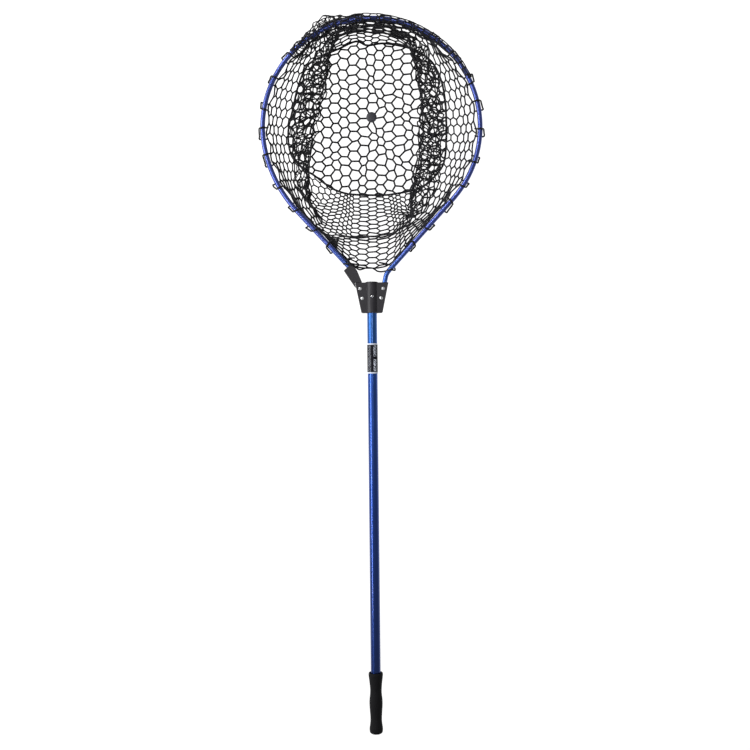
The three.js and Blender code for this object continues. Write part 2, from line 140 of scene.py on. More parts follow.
def turned(profile, segments=96, centre=(0, 0), axis="Y"):
    """Verts and faces of a solid turned about an axis, from [radius, height] points."""
    verts, faces, rings = [], [], []
    for radius, height in profile:
        ring = []
        for k in range(segments if radius > ON_AXIS else 1):
            a = 2 * math.pi * k / segments
            x, z = radius * math.cos(a), radius * math.sin(a)
            if axis == "Y":
                point = (centre[0] + x, height, centre[1] + z)
            else:
                point = (centre[0] + x, centre[1] - z, height)
            ring.append(len(verts))
            verts.append(point)
        rings.append(ring)
    closed = profile[0][0] > ON_AXIS
    following = rings[1:] + rings[:1] if closed else rings[1:]
    for a, b in zip(rings, following):
        for k in range(segments):
            quad = [a[k % len(a)], b[k % len(b)], b[(k + 1) % len(b)], a[(k + 1) % len(a)]]
            corners = list(dict.fromkeys(quad))
            if len(corners) > 2:
                faces.append(corners)
    return verts, faces


def dome(radius, low, height, step):
    """Profile points of a round crown, from its edge up to the axis, every so many degrees."""
    turns = [math.radians(d) for d in range(0, 90, step)]
    return [*((radius * math.cos(a), low + height * math.sin(a)) for a in turns), (0, low + height)]


def tube_along(points, radius, sides=12, closed=False):
    """Verts and faces of a round strand along a line, with pointed ends when it is open."""
    point_length = 0.8  # of the strand's radius
    points = [Vector(p) for p in points]
    count = len(points)
    if closed:
        tangents = [(points[(i + 1) % count] - points[i - 1]).normalized() for i in range(count)]
    else:
        ends = [points[0], *points, points[-1]]
        tangents = [(ends[i + 2] - ends[i]).normalized() for i in range(count)]
    side = tangents[0].orthogonal().normalized()
    sides_at = []
    for tangent in tangents:
        side = (side - tangent * side.dot(tangent)).normalized()
        sides_at.append(side)
    if closed:
        # the frame's twist over one turn is shared out along the line
        back = (side - tangents[0] * side.dot(tangents[0])).normalized()
        twist = math.atan2(sides_at[0].cross(back).dot(tangents[0]), sides_at[0].dot(back))
    else:
        twist = 0
    verts, faces = [], []
    for i, (point, tangent, side) in enumerate(zip(points, tangents, sides_at)):
        up = tangent.cross(side)
        for k in range(sides):
            a = 2 * math.pi * k / sides - twist * i / count
            verts.append(point + radius * (math.cos(a) * side + math.sin(a) * up))
    last = count if closed else count - 1
    for i in range(last):
        for k in range(sides):
            a, b = i * sides, ((i + 1) % count) * sides
            faces.append([a + k, a + (k + 1) % sides, b + (k + 1) % sides, b + k])
    if not closed:
        for end, sign in ((0, -1), (count - 1, 1)):
            tip = len(verts)
            verts.append(points[end] + sign * tangents[end] * radius * point_length)
            for k in range(sides):
                pair = [end * sides + k, end * sides + (k + 1) % sides]
                faces.append([tip, *(pair if sign > 0 else reversed(pair))])
    return verts, faces


def merged(parts):
    """Several verts and faces lists as one."""
    verts, faces = [], []
    for some_verts, some_faces in parts:
        start = len(verts)
        verts += some_verts
        faces += [[start + k for k in face] for face in some_faces]
    return verts, faces


def spline(points, per_span, closed=False):
    """A smooth line through points, as a list of points."""
    points = [Vector(p) for p in points]
    count = len(points)
    made = []
    for i in range(count if closed else count - 1):
        if closed:
            a, b, c, d = (points[(i + k) % count] for k in (-1, 0, 1, 2))
        else:
            a, b, c, d = (points[clamped(i + k, 0, count - 1)] for k in (-1, 0, 1, 2))
        for k in range(per_span):
            made.append(catmull(a, b, c, d, k / per_span))
    return made if closed else [*made, points[-1]]


def catmull(a, b, c, d, t):
    """The point at a share t of the way from b to c, on a smooth curve through all four."""
    return 0.5 * (2 * b + (c - a) * t + (2 * a - 5 * b + 4 * c - d) * t**2
                  + (3 * b - a - 3 * c + d) * t**3)


# ---- materials ----
class Nodes:
    """Short names for building a material's nodes."""

    def __init__(self, name):
        self.material = bpy.data.materials.new(name)
        self.material.use_nodes = True
        self.tree = self.material.node_tree
        self.surface = self.tree.nodes["Principled BSDF"]

    def add(self, kind, inputs=(), **settings):
        node = self.tree.nodes.new(kind)
        for key, value in settings.items():
            setattr(node, key, value)
        for key, value in dict(inputs).items():
            self.put(node, key, value)
        return node

    def put(self, node, key, value):
        if isinstance(value, bpy.types.NodeSocket):
            self.tree.links.new(value, node.inputs[key])
        else:
            node.inputs[key].default_value = value

    def place(self):
        return self.add("ShaderNodeTexCoord").outputs["Object"]

    def noise(self, scale, detail=3, stretch=(1, 1, 1)):
        spot = self.add("ShaderNodeMapping", {"Vector": self.place(), "Scale": stretch})
        made = self.add("ShaderNodeTexNoise",
                        {"Vector": spot.outputs[0], "Scale": scale, "Detail": detail})
        return made.outputs["Fac"]

    def remap(self, value, low, high, start=0.0, end=1.0):
        made = self.add("ShaderNodeMapRange", {
            "Value": value, "From Min": start, "From Max": end, "To Min": low, "To Max": high})
        return made.outputs[0]

    def mix(self, share, first, second):
        made = self.add("ShaderNodeMix", data_type="RGBA")
        self.put(made, 0, share)
        self.put(made, 6, first)
        self.put(made, 7, second)
        return made.outputs[2]

    def math(self, operation, first, second=0.0):
        made = self.add("ShaderNodeMath", operation=operation)
        self.put(made, 0, first)
        self.put(made, 1, second)
        return made.outputs[0]

    def bump(self, height, strength, distance=0.0002):
        made = self.add("ShaderNodeBump",
                        {"Height": height, "Strength": strength, "Distance": distance})
        self.put(self.surface, "Normal", made.outputs[0])

    def finish(self, **values):
        for key, value in values.items():
            self.put(self.surface, key.replace("_", " "), value)
        return self.material


def blue_anodised():
    """Anodised tube with painted light and shade along it: darkest by the grip, brightest by the
    yoke, and a little violet round the hoop.
    """
    lowest, highest = 0.1, 1.3  # the stretch of Y, in metres, that the tones and painted light are spread over
    n = Nodes("blue_anodised")
    along = n.noise(60, 4, (40, 0.6, 40))
    cloud = n.noise(9, 2)
    height = n.add("ShaderNodeSeparateXYZ", {"Vector": n.place()}).outputs["Y"]
    ramp = n.add("ShaderNodeValToRGB", {"Fac": n.remap(height, 0, 1, lowest, highest)})
    # painted light and shade: darker stops by the grip, brighter ones by the yoke; the last stop is
    # the hoop's own violet tone
    tones_and_painted_light = [
        (0.05, (0.007, 0.030, 0.165, 1)), (0.40, (0.010, 0.048, 0.270, 1)),
        (0.68, (0.014, 0.068, 0.330, 1)), (0.80, (0.020, 0.118, 0.400, 1)),
        (0.88, (0.026, 0.110, 0.410, 1)), (0.98, (0.060, 0.088, 0.350, 1)),
    ]
    stops = ramp.color_ramp.elements
    while len(stops) < len(tones_and_painted_light):
        stops.new(0.5)
    for stop, (at, shade) in zip(stops, tones_and_painted_light):
        stop.position, stop.color = at, shade
    base = n.mix(n.math("MULTIPLY", cloud, 0.3), ramp.outputs[0], (0.003, 0.012, 0.08, 1))
    n.bump(along, 0.02)
    return n.finish(Base_Color=base, Metallic=0.95, Roughness=n.remap(along, 0.24, 0.34),
                    Specular_IOR_Level=0.5, Coat_Weight=0.5, Coat_Roughness=0.16)


def black_plastic():
    n = Nodes("black_plastic")
    grain, cloud = n.noise(1800, 2), n.noise(60, 3)
    base = n.mix(cloud, (0.012, 0.011, 0.014, 1), (0.026, 0.024, 0.030, 1))
    n.bump(grain, 0.25, 0.00008)
    return n.finish(Base_Color=base, Roughness=n.remap(cloud, 0.38, 0.54), Specular_IOR_Level=0.35)


def foam_grip():
    n = Nodes("foam_grip")
    pores = n.add("ShaderNodeTexVoronoi", {"Vector": n.place(), "Scale": 1400}).outputs["Distance"]
    cloud = n.noise(45, 3)
    base = n.mix(cloud, (0.003, 0.003, 0.0035, 1), (0.008, 0.008, 0.009, 1))
    n.bump(pores, 0.5, 0.00015)
    return n.finish(Base_Color=base, Roughness=n.remap(cloud, 0.62, 0.8), Specular_IOR_Level=0.12)


def rubber(name, dark, gloss):
    """Moulded rubber: how dark its darker parts are, and how strongly it shines."""
    n = Nodes(name)
    fine, cloud = n.noise(900, 2), n.noise(25, 3)
    base = n.mix(cloud, (dark, dark, dark * 1.3, 1), (dark * 2.2, dark * 2.2, dark * 3, 1))
    n.bump(fine, 0.2, 0.0001)
    return n.finish(Base_Color=base, Roughness=n.remap(cloud, 0.42, 0.56), Specular_IOR_Level=gloss)


def bright_steel():
    n = Nodes("bright_steel")
    fine = n.noise(700, 3)
    n.bump(fine, 0.08, 0.00005)
    return n.finish(Base_Color=(0.78, 0.79, 0.8, 1), Metallic=1.0,
                    Roughness=n.remap(fine, 0.26, 0.4))


def printed_sleeve(low, high):
    """Glossy black with a light ring at each end and generic marks up both sides of the front; the
    left marks are grey, print with a painted highlight down that side.
    """
    n = Nodes("printed_sleeve")
    spot = n.add("ShaderNodeSeparateXYZ", {"Vector": n.place()})
    x, y = spot.outputs["X"], spot.outputs["Y"]
    ring_width, ring_clear = 0.045, 0.075  # shares of the sleeve's length
    gap_at, gap_half = 0.52, 0.05
    share = n.remap(y, 0, 1, low, high)
    from_end = n.math("MINIMUM", share, n.math("SUBTRACT", 1.0, share))
    ring = n.math("LESS_THAN", from_end, ring_width)
    inside = n.math("GREATER_THAN", from_end, ring_clear)
    wobble = n.noise(210, 2)

    def column(middle_x, half, slope, rate, fill):
        """Uneven slanted strokes up the sleeve, in a band of X that is 2 * half wide."""
        slant = n.math("ADD", n.math("MULTIPLY", share, rate), n.math("MULTIPLY", x, slope))
        slant = n.math("ADD", slant, n.math("MULTIPLY", wobble, 2.2))
        stroke = n.math("LESS_THAN", n.math("FRACT", slant), fill)
        near = n.math("LESS_THAN", n.math("ABSOLUTE", n.math("SUBTRACT", x, middle_x)), half)
        return n.math("MULTIPLY", n.math("MULTIPLY", stroke, near), inside)

    from_gap = n.math("ABSOLUTE", n.math("SUBTRACT", share, gap_at))
    gap = n.math("GREATER_THAN", from_gap, gap_half)
    strokes = column(middle_x=0.0064, half=0.0034, slope=170.0, rate=11.0, fill=0.56)
    bold = n.math("MULTIPLY", strokes, gap)
    # left column: print in grey, with a painted highlight down the sleeve's left side
    strokes = column(middle_x=-0.0078, half=0.0036, slope=-200.0, rate=12.0, fill=0.5)
    faint_marks_and_painted_highlight = n.math("MULTIPLY", strokes, 0.24)
    print_and_painted_highlight = n.math("MAXIMUM", ring, n.math("MAXIMUM", bold, faint_marks_and_painted_highlight))
    cloud = n.noise(80, 3)
    base = n.mix(print_and_painted_highlight, (0.006, 0.006, 0.010, 1), (0.66, 0.70, 0.80, 1))
    n.bump(cloud, 0.05)
    return n.finish(Base_Color=base, Roughness=n.remap(cloud, 0.36, 0.48),
                    Specular_IOR_Level=0.12)


BLUE = blue_anodised()
PLASTIC = black_plastic()
FOAM = foam_grip()
RUBBER = rubber("net_rubber", dark=0.005, gloss=0.2)
STEEL = bright_steel()


# ---- the handle ----
def handle_tube():
    """The long tube, open at both ends, with the button's hole in its front wall."""
    bore, lip = TUBE_RADIUS - TUBE_WALL, 0.25 * MM
    low, high = TUBE_LOW.y, TUBE_HIGH.y
    profile = [
        (bore, low), (TUBE_RADIUS, low), (TUBE_RADIUS, high - lip), (TUBE_RADIUS - lip, high),
        (bore, high),
    ]
    tube = piece("handle_tube_smooth", *turned(profile), "handle", "blue_anodised", BLUE)
    hole, hole_radius = middle("snap_button"), 3.6 * MM
    start, end = 2 * MM, 20 * MM
    profile = [(0, start), (hole_radius, start), (hole_radius, end), (0, end)]
    cut_out(tube, *turned(profile, 32, (0, hole.y), "Z"))
    sharpen(tube)
    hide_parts("handle_tube")


def top_plug():
    """The black plug that closes the tube's top end, with a low domed head."""
    low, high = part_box("handle_top_plug")
    radius, crown = high.x, 2.4 * MM
    stem = TUBE_RADIUS - TUBE_WALL - 0.4 * MM
    shoulder = TUBE_HIGH.y + TUBE_GAP
    profile = [(0, low.y), (stem, low.y), (stem, shoulder), (radius, shoulder),
               *dome(radius, high.y - crown, crown, 15)]
    plug = piece("top_plug_smooth", *turned(profile), "handle", "black_plastic", PLASTIC)
    sharpen(plug)
    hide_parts("handle_top_plug")


def label():
    """The printed sleeve round the tube below the yoke."""
    low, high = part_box("label_sleeve")
    inner, outer = TUBE_RADIUS + TUBE_GAP, high.x
    edge = 0.12 * MM
    profile = [
        (inner, low.y), (outer - edge, low.y), (outer, low.y + edge), (outer, high.y - edge),
        (outer - edge, high.y), (inner, high.y),
    ]
    made = piece("label_sleeve_smooth", *turned(profile), "handle", "printed_sleeve",
                 printed_sleeve(low.y, high.y))
    sharpen(made)
    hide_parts("label_sleeve")


def grip():
    """The foam sleeve, with two waists, a flared top and a cup round the tube."""
    low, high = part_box("grip")
    bore, top, foot = TUBE_RADIUS + TUBE_GAP, high.y, low.y
    knots = [(16.8, 5.4), (17.4, 14), (15, 38), (17.2, 81), (15, 114), (18.9, 153)]
    side = spline([Vector((r, y, 0)) * MM for r, y in knots], 10)
    side = [(p.x, p.y) for p in side[1:]]
    rim = [(18.7, 156), (18.1, 158.2), (17.3, top / MM), (16.6, top / MM - 0.2), (16.1, 157.6)]
    rim = [(r * MM, y * MM) for r, y in rim]
    cup = [(15.8 * MM, 154.6 * MM), (bore, 154.5 * MM)]
    start = [(bore, foot), (16.2 * MM, foot), (16.7 * MM, foot + 0.5 * MM)]
    made = piece("grip_foam", *turned([*start, *side, *rim, *cup]), "handle", "foam_grip", FOAM)
    sharpen(made, 50)
    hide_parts("grip")


def butt_cap():
    """The cap that closes the grip's lower end, with a spigot up the tube."""
    low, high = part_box("butt_cap")
    radius, foot = high.x, low.y
    side = [(9.5, 0), (12.4, 0.8), (14.6, 2.1), (16, 3.6), (radius / MM, 4.7), (16.3, 5)]
    spigot = [(10.9, 5), (10.9, 22), (0, 22)]
    profile = [(0, foot), *[(r * MM, y * MM) for r, y in side + spigot]]
    made = piece("butt_cap_smooth", *turned(profile), "handle", "foam_grip", FOAM)
    sharpen(made, 50)
    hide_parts("butt_cap")


# ---- the yoke and its hardware ----
def softened(node, body, material, width=0.5 * MM):
    """A copy of a CAD node's shape with its edges rounded, on a body when one is given."""
    same_spot, flat, sharp_corner, sharp_shading = 1e-6, 2, 38, 44
    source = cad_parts[node]
    graph = bmesh.new()
    graph.from_mesh(source.data)
    graph.transform(source.matrix_world)
    bmesh.ops.remove_doubles(graph, verts=graph.verts, dist=same_spot)
    bmesh.ops.dissolve_limit(graph, angle_limit=math.radians(flat), verts=graph.verts,
                             edges=graph.edges)
    mesh = bpy.data.meshes.new(f"{node}_soft")
    graph.to_mesh(mesh)
    graph.free()
    obj = bpy.data.objects.new(f"{node}_soft", mesh)
    bpy.context.scene.collection.objects.link(obj)
    mesh.materials.append(material)
    bevel = obj.modifiers.new("edges", "BEVEL")
    bevel.width, bevel.segments, bevel.angle_limit = width, 3, math.radians(sharp_corner)
    bevel.limit_method = "ANGLE"
    with_modifiers(obj)
    obj.data.shade_smooth()
    sharpen(obj, sharp_shading)
    even = obj.modifiers.new("even", "WEIGHTED_NORMAL")
    even.keep_sharp = True
    with_modifiers(obj)
    if body:
        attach(obj, body)
    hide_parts(node)
    return obj


def screw(node):
    """A pan-head screw with a cross recess and a short threaded end."""
    low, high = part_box(node)
    x, y = (low.x + high.x) / 2, (low.y + high.y) / 2
    head, shank, edge = (high.x - low.x) / 2, 1.9 * MM, 0.3 * MM
    rim, crown = 0.9 * MM, 1.5 * MM
    base = high.z - crown - rim
    thread_depth, half_pitch, threads = 0.3 * MM, 0.35 * MM, 10
    thread = [(shank - thread_depth * (k % 2), low.z + edge + half_pitch * k)
              for k in range(2 * threads)]
    profile = [
        (0, low.z), (shank - 0.4 * MM, low.z), *thread, (shank, base), (head - edge, base),
        (head, base + edge), *dome(head, base + rim, crown, 12),
    ]
    made = piece(f"{node}_fine", *turned(profile, 40, (x, y), "Z"), "head", "bright_steel", STEEL)
    turn = random.uniform(0.35, 0.8)  # each screw stopped at a turn of its own
    for k in range(2):
        cut_out(made, *cross_cutter(Vector((x, y, high.z)), turn + k * math.pi / 2))
    sharpen(made, 30)
    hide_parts(node)


def cross_cutter(top, turn):
    """One arm of a cross recess, as verts and faces: a bar that tapers downward."""
    half, wide, deep = 3.0 * MM, 0.95 * MM, 3.2 * MM  # at the head's top; it goes as far above
    narrow, broad = 0.1, 1.9
    corners = []
    for level, shrink in ((deep, narrow), (-deep, broad)):
        for a, b in ((-1, -1), (1, -1), (1, 1), (-1, 1)):
            spot = Vector((a * half * shrink, b * wide * shrink, -level))
            corners.append(top + Matrix.Rotation(turn, 3, "Z") @ spot)
    sides = [(k, (k + 1) % 4, 4 + (k + 1) % 4, 4 + k) for k in range(4)]
    return corners, [(3, 2, 1, 0), (4, 5, 6, 7), *sides]


def yoke():
    """The two half shells round the handle, and the knuckle on the hoop's left end."""
    for node in ("yoke_front", "yoke_rear"):
        softened(node, "head", PLASTIC, 0.7 * MM)
    softened("hoop_knuckle", "head", PLASTIC, 0.4 * MM)


def fasteners():
    """The four screws through the yoke, with their nuts behind it."""
    for n in range(1, 5):
        screw(f"yoke_screw_{n}")
        softened(f"yoke_nut_{n}", "head", STEEL, 0.2 * MM)


def leaf_spring():
    """The button's spring, as one fixed piece with its upper and lower arms."""
    leaf = softened("button_spring", None, STEEL, 0.1 * MM)
    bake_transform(leaf)


def snap_button():
    """The round-nosed button, with the flange that keeps it inside the tube."""
    low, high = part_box("snap_button")
    flange, y = high.x, (low.y + high.y) / 2
    radius, shoulder = 3.2 * MM, low.z + 2 * MM
    profile = [(0, low.z), (flange, low.z), (flange, shoulder), (radius, shoulder),
               *dome(radius, high.z - radius, radius, 9)]
    made = piece("snap_button_smooth", *turned(profile, 48, (0, y), "Z"), "button",
                 "bright_steel", STEEL)
    sharpen(made)
    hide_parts("snap_button")


# ---- the hoop ----
BEND_START = 1188 * MM
RIGHT_KNEE = Vector((48.4, 1207, 0)) * MM
LEFT_KNEE = Vector((-60, 1215.5, 0)) * MM
LEFT_TOP = Vector((-191.3, 1359, 0)) * MM
RING_END = math.radians(192.2)
RING_STEPS = 180
IN_KNUCKLE = 14 * MM  # how far the left leg goes on into the knuckle
HOOP_CENTRE = Vector((HOOP_X, HOOP_Y, 0))


def out_from_tip(degrees):
    """The direction from the hoop's centre at an angle clockwise from the tip."""
    a = math.radians(degrees)
    return Vector((math.sin(a), math.cos(a), 0))


def eased(start, ahead, end, behind, steps=14):
    """A bend between two straight parts, through the corner where their lines would meet."""
    reach = (end - start).cross(behind).z / ahead.cross(behind).z
    corner = start + ahead * reach
    shares = [k / steps for k in range(steps + 1)]
    return [start.lerp(corner, t).lerp(corner.lerp(end, t), t) for t in shares]


def hoop_points():
    """The hoop's centre line from its foot in the yoke round to its end in the knuckle."""
    lower, upper = SCREW_RIGHT
    up = (upper - lower).normalized()
    foot = upper - up * ((upper.y - HOOP_LOW.y) / up.y)
    foot.z = upper.z = 0
    start = upper + up * ((BEND_START - upper.y) / up.y)
    start.z = 0
    away = RIGHT_KNEE - HOOP_CENTRE
    touch = math.atan2(away.y, away.x) + math.acos(HOOP_RADIUS / away.length)
    turns = [touch + (RING_END - touch) * k / RING_STEPS for k in range(RING_STEPS + 1)]
    ring = [HOOP_CENTRE + HOOP_RADIUS * Vector((math.cos(a), math.sin(a), 0)) for a in turns]
    slant = ring[0] - RIGHT_KNEE
    along = Vector((-math.sin(RING_END), math.cos(RING_END), 0))
    inward = (LEFT_KNEE - LEFT_TOP).normalized()
    swell = eased(ring[-1], along, LEFT_TOP, inward)
    return [foot, *eased(start, up.xy.to_3d(), RIGHT_KNEE, slant), *ring, *swell[1:],
            LEFT_KNEE + inward * IN_KNUCKLE]


def hoop():
    """The bent tube, as a solid bar: both its ends are covered."""
    made = piece("hoop_tube_smooth", *tube_along(hoop_points(), HOOP_TUBE, 32), "head",
                 "blue_anodised", BLUE)
    sharpen(made, 50)
    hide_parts("hoop_tube")


# ---- the net bag ----
# Stations round the bag, clockwise from the tip as the mouth is looked into, in millimetres.
# Each has the direction of its rim point, the outer crease, the inner fold, the border of the
# bottom panel, how far the slack below the fold is pleated, and how far it bulges outward.
STATIONS = [
    (0, (5, 1873, -38), (2, 1846, -66), (-6, 1841), 0.3, 24),
    (12, (60, 1866, -38), (56, 1838, -68), (38, 1846), 0.35, 22),
    (24, (112, 1852, -50), (100, 1818, -86), (88, 1838), 0.7, 10),
    (36, (152, 1830, -70), (118, 1800, -102), (130, 1824), 1.0, 0),
    (50, (182, 1765, -86), (121, 1765, -106), (172, 1793), 1.0, 0),
    (62, (197, 1712, -92), (126, 1722, -108), (196, 1745), 1.0, 0),
    (75, (206, 1650, -95), (131, 1668, -108), (207, 1690), 1.0, 0),
    (90, (209, 1590, -95), (130, 1612, -109), (210, 1630), 1.0, 0),
    (105, (206, 1530, -95), (123, 1556, -110), (209, 1570), 1.0, 0),
    (120, (196, 1470, -91), (116, 1496, -110), (200, 1510), 1.0, 0),
    (133, (185, 1416, -83), (108, 1438, -109), (165, 1466), 1.0, 0),
    (143, (161, 1371, -70), (104, 1392, -107), (136, 1446), 0.9, 0),
    (152, (124, 1340, -60), (99, 1360, -103), (106, 1438), 0.55, 0),
    (161, (88, 1320, -50), (82, 1336, -90), (74, 1432), 0.1, 0),
    (171.8, (58, 1300, -40), (56, 1310, -80), (42, 1428), 0.0, 0),
    (181, (0, 1293, -38), (0, 1302, -80), (0, 1428), 0.0, 0),
    (190, (-50, 1294, -38), (-50, 1303, -80), (-45, 1430), 0.0, 0),
    (202, (-104, 1297, -46), (-92, 1322, -86), (-72, 1434), 0.0, 0),
    (214, (-150, 1328, -60), (-134, 1340, -92), (-104, 1446), 0.15, 0),
    (222, (-178, 1362, -70), (-152, 1376, -100), (-128, 1462), 0.4, 0),
    (231, (-197, 1412, -84), (-171, 1418, -107), (-156, 1484), 0.75, 0),
    (240, (-208, 1456, -90), (-168, 1466, -111), (-192, 1508), 1.0, 0),
    (255, (-218, 1525, -95), (-156, 1535, -110), (-220, 1545), 1.0, 0),
    (270, (-221, 1592, -95), (-144, 1608, -110), (-226, 1605), 1.0, 0),
    (285, (-208, 1656, -94), (-130, 1668, -108), (-212, 1670), 1.0, 0),
    (298, (-188, 1715, -90), (-114, 1722, -107), (-198, 1728), 1.0, 0),
    (312, (-165, 1775, -80), (-106, 1768, -106), (-172, 1786), 1.0, 0),
    (325, (-140, 1824, -56), (-103, 1805, -100), (-125, 1815), 1.0, 0),
    (338, (-114, 1860, -34), (-92, 1832, -80), (-85, 1832), 0.6, 8),
    (350, (-45, 1874, -36), (-45, 1848, -66), (-37, 1852), 0.3, 20),
]
DEPTH = 164 * MM
CREASE_ROWS = [  # rows of cells above the crease, by the direction from the tip
    (0, 3.4), (40, 4.2), (100, 4.5), (120, 4.1), (133, 3.5), (143, 3.4), (152, 4.2), (161, 5.2),
    (172, 6), (181, 6.2), (192, 6), (202, 5.2), (214, 4.5), (240, 4.3), (320, 4.2), (360, 3.4),
]
FOLD_ROWS = [  # rows of cells above the fold that follows the crease
    (0, 8.5), (155, 8.5), (172, 7.8), (200, 7.8), (214, 8.2), (225, 8.5), (360, 8.5),
]
COLUMNS = 72
ROWS = 18
SPAN_STEPS = 12  # measured steps along the rim from one station to the next
WALL_STRAND, PANEL_STRAND, CUFF_STRAND = 6.4 * MM, 7.7 * MM, 4.2 * MM
THIN_SHARE = 0.85  # of the wall's strand, where it is drawn tight
LOOP_RADIUS = 2.2 * MM
RIM_INSET, RIM_DROP = 8.5 * MM, 4.5 * MM  # from the hoop's centre line to the net's first row
THROAT = 1210 * MM
THROAT_DIP, DIP_TOP, DIP_LENGTH = 12.5 * MM, 1290 * MM, 60 * MM
HOOP_LINE = hoop_points()


def hoop_towards(out):
    """Where a direction from the hoop's centre meets the hoop's line, and the way square to it."""
    for a, b in zip(HOOP_LINE, HOOP_LINE[1:]):
        before, after = (out.cross(p - HOOP_CENTRE).z for p in (a, b))
        if before * after <= 0 and before != after and out.dot(a - HOOP_CENTRE) > 0:
            along = (b - a).normalized()
            return a.lerp(b, before / (before - after)), Vector((along.y, -along.x, 0))
    return HOOP_CENTRE + out, out


def rim_point(degrees):
    """A point just inside the hoop's ring, its slanting legs or the throat between them.

    Towards the throat the rim dips, to pass behind the handle.
    """
    out = out_from_tip(degrees)
    hit, square = hoop_towards(out)
    spot = hit - square * RIM_INSET
    if spot.y < THROAT:
        spot = HOOP_CENTRE + out * ((HOOP_Y - THROAT) / -out.y)
    spot.z = -RIM_DROP - THROAT_DIP * clamped((DIP_TOP - spot.y) / DIP_LENGTH)
    return spot


def between(steps, at):
    """The value at a place along a list of (place, value) steps, and 0 beyond its ends."""
    for (a, low), (b, high) in zip(steps, steps[1:]):
        if a <= at <= b:
            return low + (high - low) * (at - a) / (b - a)
    return 0


class Bag:
    """The folded wall of the bag: a smooth surface over a share of the rim's length and a row.

    Six lines run round it: the rim, the crease, the fold, two in the slack and the border. Where
    the slack is pleated, its first line swings back under the crease and its second under the fold.
    """

    def __init__(self):
        self.rings = [[] for _ in range(6)]
        self.rows_down = []  # the row of each of the six lines, at each station
        for angle, crease, fold, border, pleat, bulge in STATIONS:
            crease, fold = Vector(crease) * MM, Vector(fold) * MM
            border = Vector((*border, 0)) * MM - Vector((0, 0, DEPTH))
            back, again = fold.lerp(border, 0.33), fold.lerp(border, 0.66)
            wide, narrow = fold.lerp(crease, 0.85), fold.lerp(border, 0.12)
            out = out_from_tip(angle) * bulge * MM
            back.xy = back.xy.lerp(wide.xy, pleat) + out.xy
            again.xy = again.xy.lerp(narrow.xy, pleat) + out.xy
            spots = [rim_point(angle), crease, fold, back, again, border]
            for ring, spot in zip(self.rings, spots):
                ring.append(spot)
            fold_row = between(FOLD_ROWS, angle)
            thirds = [fold_row + (ROWS - fold_row) * share for share in (1 / 3, 2 / 3)]
            self.rows_down.append([0, between(CREASE_ROWS, angle), fold_row, *thirds, ROWS])
        fine = spline(self.rings[0], SPAN_STEPS, closed=True)
        steps = [(b - a).length for a, b in zip(fine, fine[1:] + fine[:1])]
        whole, run = sum(steps), 0
        self.marks = [0]
        for step in steps:
            run += step / whole
            self.marks.append(run)

    def station(self, share):
        """The station number, with its fraction, at a share of the rim's length."""
        share %= 1
        low, high = 0, len(self.marks) - 1
        while high - low > 1:
            half = (low + high) // 2
            low, high = (half, high) if self.marks[half] <= share else (low, half)
        span = self.marks[high] - self.marks[low]
        return (low + (share - self.marks[low]) / span) / SPAN_STEPS

    def pleat(self, share):
        """How far the slack is pleated at a share of the rim's length."""
        at = self.station(share)
        i, t = int(at) % len(STATIONS), at - int(at)
        return STATIONS[i][4] * (1 - t) + STATIONS[(i + 1) % len(STATIONS)][4] * t

    def at(self, share, row):
        """The point at a share of the rim's length and a row."""
        station = self.station(share)
        i, t = int(station), station - int(station)
        line = []
        for ring in self.rings:
            a, b, c, d = (ring[(i + k) % len(ring)] for k in (-1, 0, 1, 2))
            line.append(catmull(a, b, c, d, t))
        row = clamped(row, 0, ROWS)
        following = self.rows_down[(i + 1) % len(STATIONS)]
        stops = [a + (b - a) * t for a, b in zip(self.rows_down[i], following)]
        k = max(n for n in range(len(line) - 1) if stops[n] <= row)
        down = (row - stops[k]) / (stops[k + 1] - stops[k])
        line = [2 * line[0] - line[1], *line, 2 * line[-1] - line[-2]]
        return catmull(*line[k:k + 4], down)


def crumple(point, amount, size=0.05):
    """A smooth irregular shift of a point, over bumps of about a size."""
    origin = Vector((3.1, 7.7, 1.3))
    return noise.noise_vector(point / size + origin) * amount


def honeycomb(columns, rows, place, closed=False):
    """Hexagonal cells over a grid: place(column, row) gives each corner's point."""
    found, verts, faces = {}, [], []

    def corner(c, r):
        r = clamped(r, 0, rows)
        c = c % columns if closed else clamped(c, 0, columns)
        key = (round(c * 6), round(r * 6))  # corners lie on sixths of a cell
        if key not in found:
            found[key] = len(verts)
            verts.append(place(c, r))
        return found[key]

    for i in range(columns if closed else columns + 1):
        for j in range(rows + i % 2):
            r = j + (0 if i % 2 else 0.5)
            ring = [(i + 2 / 3, r), (i + 1 / 3, r + 0.5), (i - 1 / 3, r + 0.5),
                    (i - 2 / 3, r), (i - 1 / 3, r - 0.5), (i + 1 / 3, r - 0.5)]
            corners = list(dict.fromkeys(corner(c, q) for c, q in ring))
            if len(corners) > 2:
                faces.append(corners)
    return verts, faces


def straight_sided(verts, faces):
    """Adds points near both ends of every edge, so that rounding keeps the sides straight.

    They stand a hair's breadth inward, so that the sides aren't exactly straight.
    """
    verts, found, made = list(verts), {}, []
    hair, near_ends = 0.05 * MM, (0.25, 0.75)
    for face in faces:
        centre = sum((verts[k] for k in face), Vector()) / len(face)
        corners = []
        for a, b in zip(face, face[1:] + face[:1]):
            low, high = min(a, b), max(a, b)
            if (low, high) not in found:
                along = (verts[high] - verts[low]).normalized()
                inward = centre - verts[low]
                inward = (inward - along * inward.dot(along)).normalized() * hair
                found[low, high] = [len(verts), len(verts) + 1]
                verts += [verts[low].lerp(verts[high], t) + inward for t in near_ends]
            pair = found[low, high]
            corners += [a, *(pair if a == low else pair[::-1])]
        made.append(corners)
    return verts, made


def unfolded(point):
    """1 on the wall's plain parts, 0 in the folds beside the panel, where the net is drawn tight."""
    beside = (abs(point.x - HOOP_X) - 95 * MM) / (20 * MM)
    below = (-point.z - 95 * MM) / (15 * MM)
    beyond = (point.y - 1430 * MM) / (40 * MM)
    return 1 - clamped(beside) * clamped(below) * clamped(beyond)


